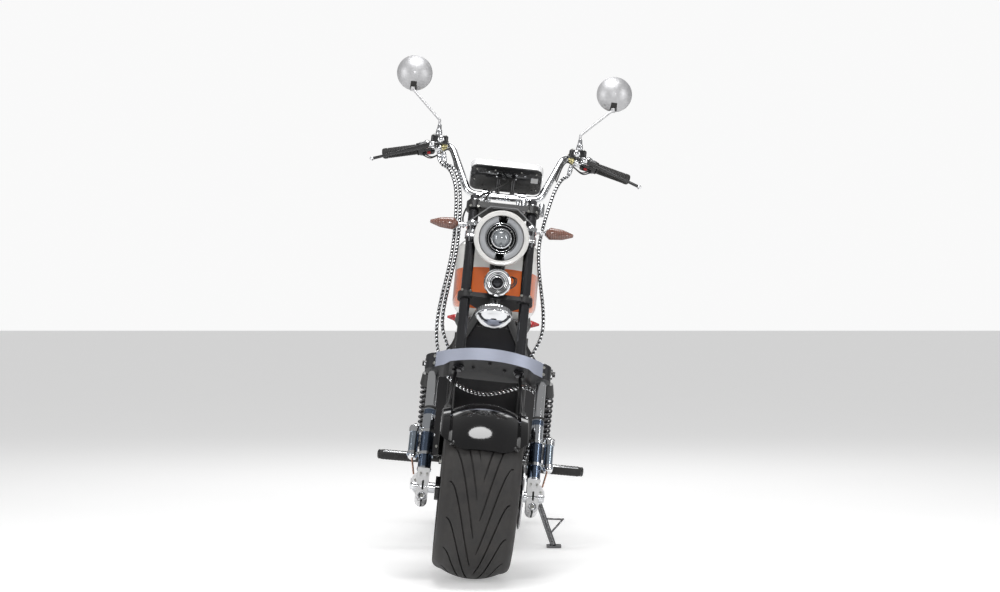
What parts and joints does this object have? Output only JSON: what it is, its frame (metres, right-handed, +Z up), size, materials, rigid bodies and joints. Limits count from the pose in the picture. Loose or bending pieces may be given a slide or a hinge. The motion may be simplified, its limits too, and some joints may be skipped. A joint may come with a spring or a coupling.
{
  "type": "electric mini motorcycle",
  "caption": "Electric mini motorcycle with wide road tyres, a telescopic fork under a curved crown, high handlebar, round lamp and hub motor, leaning on its side stand.",
  "frame": {"origin": "centre of the bounding box's footprint, on the floor, with the machine leaning on its side stand", "axes": "+Z up, -Y the way the machine faces, +X to the rider's left, the side it leans to"},
  "size_m": [0.8244, 1.8259, 1.5143],
  "materials": {
    "amber_lens": "amber tinted lens",
    "black_gloss": "gloss black paint",
    "black_motor": "black painted cast aluminium",
    "black_satin": "satin black powder coat",
    "cast_silver": "painted cast aluminium",
    "chrome": "polished chrome",
    "gloss_plastic": "gloss black plastic",
    "leather_black": "grained black leatherette",
    "machined": "machined and clear coated aluminium",
    "pearl": "bright bezel chrome",
    "plastic_black": "matte black plastic",
    "red_lens": "red lens",
    "rubber_black": "matte rubber",
    "slider_blue": "dark blue-black anodised",
    "steel": "brushed steel",
    "tank_orange": "gloss orange and white paint",
    "tyre_black": "matte tyre rubber"
  },
  "bodies": {
    "chassis": {"frame": "black_satin", "subframe": "black_satin", "battery_box": "black_gloss", "tank": "tank_orange", "tank_cap": "chrome", "rider_seat": "leather_black", "passenger_seat": "leather_black", "rear_fender": "black_gloss", "swingarm": "black_satin", "rear_axle": "chrome", "rear_shocks": "black_gloss", "rear_springs": "steel", "controller": "cast_silver", "charge_socket": "plastic_black", "footpegs": "rubber_black", "rear_brake_caliper": "cast_silver", "plate_bracket": "plastic_black", "rear_lights": "red_lens"},
    "steering": {"fork_crown": "machined", "fork_upper_tubes": "black_gloss", "lower_yoke": "black_gloss", "upper_yoke": "black_gloss", "steering_stem": "chrome", "fork_stanchions": "chrome", "fork_sliders": "slider_blue", "fork_reservoirs": "slider_blue", "fork_dropouts": "cast_silver", "front_axle": "chrome", "front_fender": "black_gloss", "fender_stays": "black_satin", "front_brake_caliper": "cast_silver", "headlight": "pearl", "headlight_bracket": "chrome", "spotlight": "gloss_plastic", "horn": "chrome", "front_indicators": "amber_lens", "handlebar": "chrome", "grips": "rubber_black", "control_clusters": "gloss_plastic", "fork_hoses": "rubber_black", "brake_levers": "cast_silver", "mirrors": "gloss_plastic", "meter": "gloss_plastic"},
    "front_wheel": {"front_tyre": "tyre_black", "front_rim": "black_gloss", "front_disc": "steel"},
    "rear_wheel": {"rear_tyre": "tyre_black", "rear_hub_wheel": "black_motor", "rear_disc": "steel"},
    "side_stand": {"side_stand": "black_satin"}
  },
  "joints": [
    {"name": "steering", "type": "hinge", "parent": "chassis", "child": "steering", "pos_m": [-0.03444, -0.37286, 0.75569], "axis": [0.0792, 0.454, 0.8875], "range_deg": [-40, 36]},
    {"name": "front_wheel_spin", "type": "hinge", "parent": "steering", "child": "front_wheel", "pos_m": [-0.07948, -0.67464, 0.23802], "axis": [0.994, 0.0311, -0.1046], "continuous": true},
    {"name": "rear_wheel_spin", "type": "hinge", "parent": "chassis", "child": "rear_wheel", "pos_m": [-0.08063, 0.66534, 0.23813], "axis": [0.996, 0, -0.0889], "continuous": true},
    {"name": "side_stand_fold", "type": "hinge", "parent": "chassis", "child": "side_stand", "pos_m": [0.06824, 0.10534, 0.24121], "axis": [0.9381, -0.0548, 0.3419], "range_deg": [0, 95]}
  ]
}
